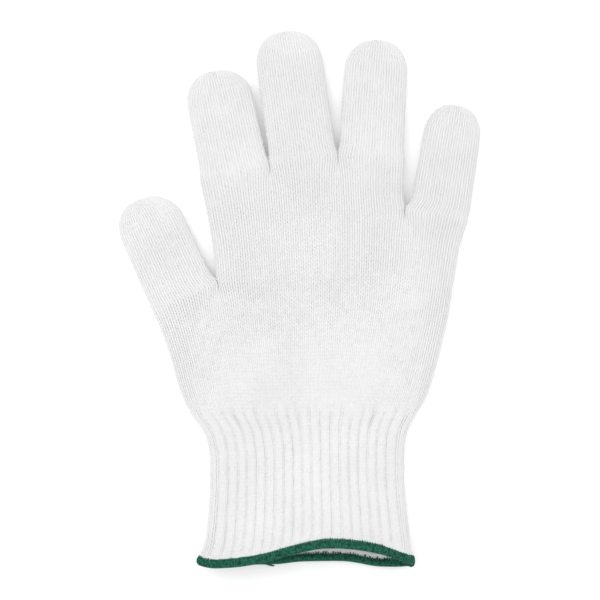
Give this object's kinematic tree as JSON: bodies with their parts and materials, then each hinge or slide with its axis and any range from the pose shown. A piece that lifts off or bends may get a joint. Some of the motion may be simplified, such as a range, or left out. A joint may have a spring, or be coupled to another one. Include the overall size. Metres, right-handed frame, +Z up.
{
  "type": "cut resistant glove",
  "caption": "Seamless knitted cut resistant work glove lying flat, palm up, with ribbed elastic wrist and overlocked hem.",
  "frame": {"origin": "centre of the glove's bounding box, on the surface it lies on", "axes": "+Y from the wrist to the fingertips, +X to the little finger's side, +Z up out of the palm"},
  "size_m": [0.1689, 0.2498, 0.0182],
  "materials": {
    "white_yarn": "matt knitted yarn",
    "elastic_yarn": "matt covered elastic",
    "hem_thread": "slightly shiny overlock thread"
  },
  "bodies": {
    "palm": {"five_finger_palm": "white_yarn", "four_finger_palm": "white_yarn"},
    "cuff": {"rib_cuff": "white_yarn", "cuff_elastic": "elastic_yarn", "hem_binding": "hem_thread", "hem_thread_tail": "hem_thread"},
    "index_base": {"index_base": "white_yarn"},
    "index_middle": {"index_middle": "white_yarn"},
    "index_tip": {"index_tip": "white_yarn"},
    "middle_base": {"middle_base": "white_yarn"},
    "middle_middle": {"middle_middle": "white_yarn"},
    "middle_tip": {"middle_tip": "white_yarn"},
    "ring_base": {"ring_base": "white_yarn"},
    "ring_middle": {"ring_middle": "white_yarn"},
    "ring_tip": {"ring_tip": "white_yarn"},
    "little_base": {"little_base": "white_yarn"},
    "little_middle": {"little_middle": "white_yarn"},
    "little_tip": {"little_tip": "white_yarn"},
    "thumb_base": {"thumb_base": "white_yarn"},
    "thumb_tip": {"thumb_tip": "white_yarn"}
  },
  "joints": [
    {"name": "index_knuckle", "type": "hinge", "parent": "palm", "child": "index_base", "pos_m": [-0.03165, 0.06682, 0.00588], "axis": [0.9945, 0.1045, 0], "range_deg": [0, 75]},
    {"name": "index_middle_joint", "type": "hinge", "parent": "index_base", "child": "index_middle", "pos_m": [-0.03501, 0.08277, 0.00588], "axis": [0.9945, 0.1045, 0], "range_deg": [0, 85]},
    {"name": "index_tip_joint", "type": "hinge", "parent": "index_middle", "child": "index_tip", "pos_m": [-0.03794, 0.09666, 0.00588], "axis": [0.9945, 0.1045, 0], "range_deg": [0, 51]},
    {"name": "middle_knuckle", "type": "hinge", "parent": "palm", "child": "middle_base", "pos_m": [0.00039, 0.074, 0.00588], "axis": [0.9976, 0.0698, 0], "range_deg": [0, 75]},
    {"name": "middle_middle_joint", "type": "hinge", "parent": "middle_base", "child": "middle_middle", "pos_m": [-0.00236, 0.09331, 0.00588], "axis": [0.9976, 0.0698, 0], "range_deg": [0, 85]},
    {"name": "middle_tip_joint", "type": "hinge", "parent": "middle_middle", "child": "middle_tip", "pos_m": [-0.00482, 0.11063, 0.00588], "axis": [0.9976, 0.0698, 0], "range_deg": [0, 51]},
    {"name": "ring_knuckle", "type": "hinge", "parent": "palm", "child": "ring_base", "pos_m": [0.0335, 0.07439, 0.00588], "axis": [0.9996, -0.0279, 0], "range_deg": [0, 75]},
    {"name": "ring_middle_joint", "type": "hinge", "parent": "ring_base", "child": "ring_middle", "pos_m": [0.03451, 0.09236, 0.00588], "axis": [0.9996, -0.0279, 0], "range_deg": [0, 85]},
    {"name": "ring_tip_joint", "type": "hinge", "parent": "ring_middle", "child": "ring_tip", "pos_m": [0.03543, 0.10883, 0.00588], "axis": [0.9996, -0.0279, 0], "range_deg": [0, 51]},
    {"name": "little_knuckle", "type": "hinge", "parent": "palm", "child": "little_base", "pos_m": [0.06602, 0.04739, 0.00588], "axis": [0.9969, -0.0785, 0], "range_deg": [0, 75]},
    {"name": "little_middle_joint", "type": "hinge", "parent": "little_base", "child": "little_middle", "pos_m": [0.06871, 0.06417, 0.00588], "axis": [0.9969, -0.0785, 0], "range_deg": [0, 85]},
    {"name": "little_tip_joint", "type": "hinge", "parent": "little_middle", "child": "little_tip", "pos_m": [0.07116, 0.07948, 0.00588], "axis": [0.9969, -0.0785, 0], "range_deg": [0, 51]},
    {"name": "thumb_root", "type": "hinge", "parent": "palm", "child": "thumb_base", "pos_m": [-0.05681, 0.00788, 0.00588], "axis": [0.9107, 0.4131, 0], "range_deg": [0, 50]},
    {"name": "thumb_tip_joint", "type": "hinge", "parent": "thumb_base", "child": "thumb_tip", "pos_m": [-0.06507, 0.0261, 0.00588], "axis": [0.9107, 0.4131, 0], "range_deg": [0, 65]},
    {"name": "wrist", "type": "hinge", "parent": "palm", "child": "cuff", "pos_m": [0.002, -0.0535, 0.0062], "axis": [-1, 0, 0], "range_deg": [-45, 55]}
  ],
  "couplings": [
    {"joint": "index_tip_joint", "follows": "index_middle_joint", "ratio": 0.6},
    {"joint": "middle_tip_joint", "follows": "middle_middle_joint", "ratio": 0.6},
    {"joint": "ring_tip_joint", "follows": "ring_middle_joint", "ratio": 0.6},
    {"joint": "little_tip_joint", "follows": "little_middle_joint", "ratio": 0.6}
  ]
}
